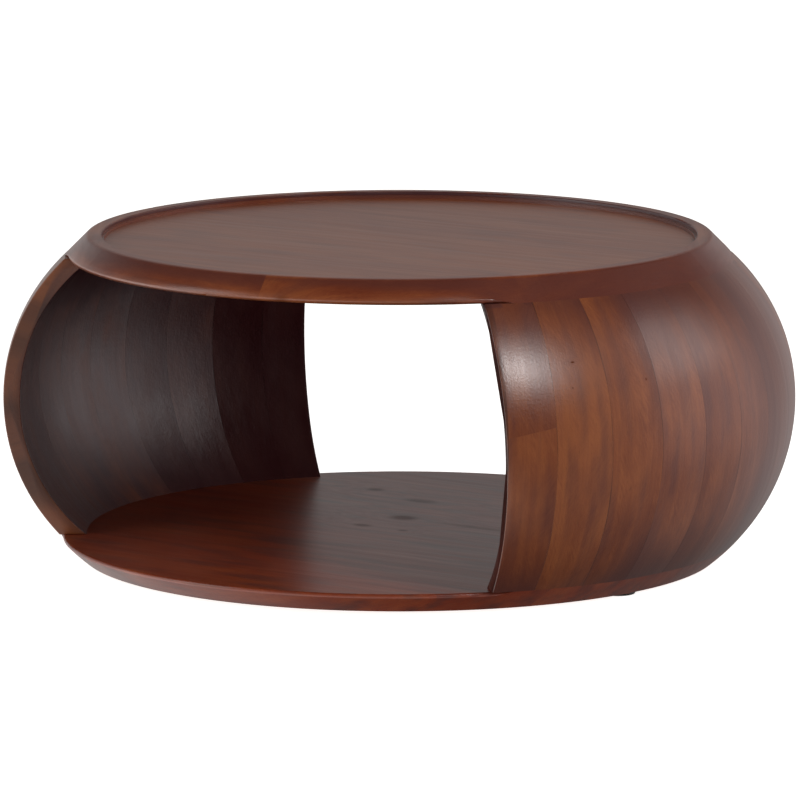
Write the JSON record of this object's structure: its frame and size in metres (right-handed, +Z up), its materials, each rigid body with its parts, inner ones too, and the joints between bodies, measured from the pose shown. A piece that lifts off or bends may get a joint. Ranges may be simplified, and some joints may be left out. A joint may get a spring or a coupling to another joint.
{
  "type": "coffee table",
  "caption": "Low drum-shaped wooden coffee table: two bowed stave walls between a round base board and a rimmed, sunk round top; open right through.",
  "frame": {"origin": "on the floor, under the middle of the table", "axes": "+Z up; the two bowed walls stand on +X and -X, and the openings face +Y and -Y; the top's and base's boards run along X"},
  "size_m": [0.9, 0.7668, 0.37],
  "materials": {
    "top_wood": "satin lacquer over reddish brown stain",
    "rim_wood": "satin lacquer over reddish brown stain",
    "wall_wood": "satin lacquer over reddish brown stain, darker inside",
    "base_wood": "satin lacquer over reddish brown stain",
    "dowel_wood": "unfinished beech",
    "glide_plastic": "dark moulded nylon",
    "screw_steel": "zinc plated"
  },
  "bodies": {
    "root": {"base_board_1": "base_wood", "base_board_2": "base_wood", "base_board_3": "base_wood", "base_board_4": "base_wood", "base_board_5": "base_wood", "base_board_6": "base_wood", "base_board_7": "base_wood", "base_board_8": "base_wood", "glide_1": "glide_plastic", "glide_2": "glide_plastic", "glide_3": "glide_plastic", "glide_screws": "screw_steel", "left_base_dowels": "dowel_wood", "left_rim_dowels": "dowel_wood", "left_stave_1": "wall_wood", "left_stave_2": "wall_wood", "left_stave_3": "wall_wood", "left_stave_4": "wall_wood", "left_stave_5": "wall_wood", "left_stave_6": "wall_wood", "left_stave_7": "wall_wood", "left_stave_8": "wall_wood", "left_stave_9": "wall_wood", "right_base_dowels": "dowel_wood", "right_rim_dowels": "dowel_wood", "right_stave_1_lower": "wall_wood", "right_stave_1_upper": "wall_wood", "right_stave_2": "wall_wood", "right_stave_3": "wall_wood", "right_stave_4": "wall_wood", "right_stave_5": "wall_wood", "right_stave_6": "wall_wood", "right_stave_7": "wall_wood", "right_stave_8": "wall_wood", "right_stave_9": "wall_wood", "rim_segment_1": "rim_wood", "rim_segment_2": "rim_wood", "rim_segment_3": "rim_wood", "rim_segment_4": "rim_wood", "rim_segment_5": "rim_wood", "rim_segment_6": "rim_wood", "rim_segment_7": "rim_wood", "rim_segment_8": "rim_wood", "top_board_1": "top_wood", "top_board_2": "top_wood", "top_board_3": "top_wood", "top_board_4": "top_wood", "top_board_5": "top_wood", "top_board_6": "top_wood", "top_board_7": "top_wood"}
  },
  "joints": []
}
